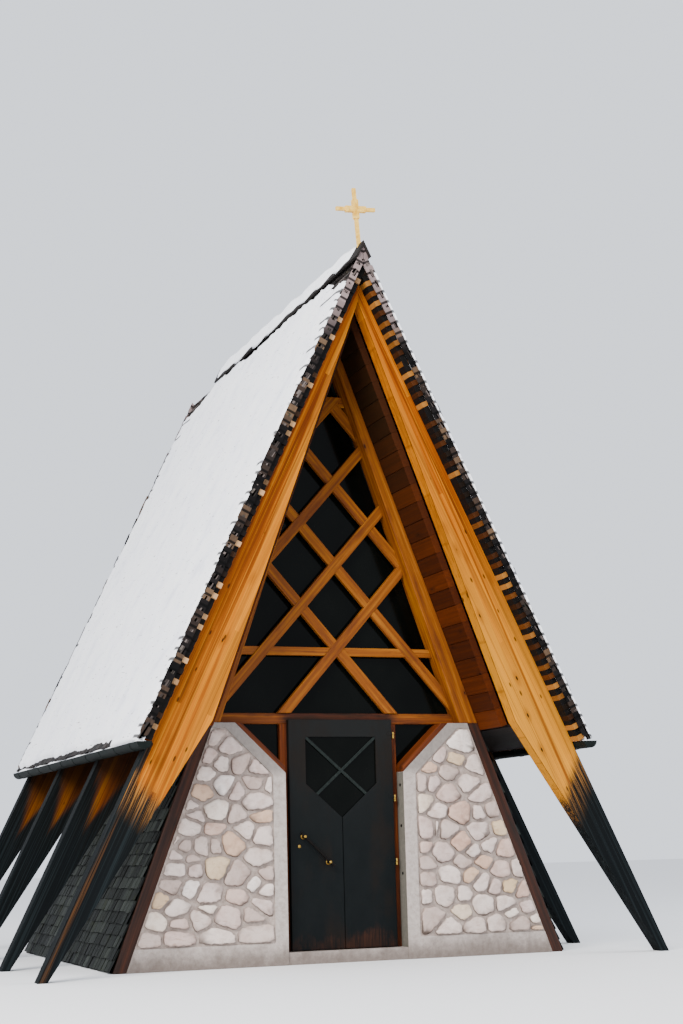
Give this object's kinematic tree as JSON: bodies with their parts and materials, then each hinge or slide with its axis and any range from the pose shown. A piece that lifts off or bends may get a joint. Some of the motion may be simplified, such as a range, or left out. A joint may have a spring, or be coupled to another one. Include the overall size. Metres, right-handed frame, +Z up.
{
  "type": "small a-frame chapel",
  "caption": "Small A-frame chapel: laminated timber frames carry a steep shingled roof over stone gable walls, a lattice window, an outward door and a ridge cross.",
  "frame": {"origin": "on the ground, in the middle of the building's plan", "axes": "+Z up, +Y from the door towards the rear gable, +X to the right seen from the front"},
  "size_m": [5.98, 5.67, 7.2306],
  "materials": {
    "glulam": "weathered oiled",
    "gable_timber": "oiled",
    "dark_timber": "stained",
    "soffit_boards": "stained",
    "shell": "weathered",
    "deck_boards": "rough sawn",
    "shingles": "weathered",
    "stone": "rough",
    "concrete": "rough",
    "gutter_metal": "satin",
    "gold": "satin",
    "pane": "clear",
    "door_paint": "matt",
    "dark_metal": "satin",
    "brass": "worn"
  },
  "bodies": {
    "building": {"frame_1_left": "glulam", "frame_1_right": "glulam", "frame_2_left": "glulam", "frame_2_right": "glulam", "frame_3_left": "glulam", "frame_3_right": "glulam", "frame_4_left": "glulam", "frame_4_right": "glulam", "gable_rafter_left": "gable_timber", "gable_rafter_right": "gable_timber", "front_transom": "gable_timber", "rear_transom": "gable_timber", "front_lattice": "gable_timber", "rear_lattice": "gable_timber", "wall_edge_left": "dark_timber", "wall_edge_right": "dark_timber", "door_posts": "dark_timber", "diagonal_trims": "dark_timber", "eave_boards": "dark_timber", "soffit_left": "soffit_boards", "soffit_right": "soffit_boards", "side_wall_left": "shell", "side_wall_right": "shell", "roof_deck_left": "deck_boards", "roof_deck_right": "deck_boards", "roof_shingles_left": "shingles", "roof_shingles_right": "shingles", "ridge_cap": "shingles", "front_wall_left": "stone", "front_wall_right": "stone", "rear_wall": "stone", "floor_slab": "concrete", "gutter_left": "gutter_metal", "gutter_right": "gutter_metal", "cross": "gold", "front_glass": "pane", "rear_glass": "pane", "hinge_posts": "brass"},
    "door": {"door_leaf": "door_paint", "door_glass": "pane", "door_pull": "dark_metal", "door_lock": "brass", "hinge_leaves": "brass"}
  },
  "joints": [
    {"name": "door_hinge", "type": "hinge", "parent": "building", "child": "door", "pos_m": [0.535, -1.903, 1], "axis": [0, 0, 1], "range_deg": [0, 90]}
  ]
}
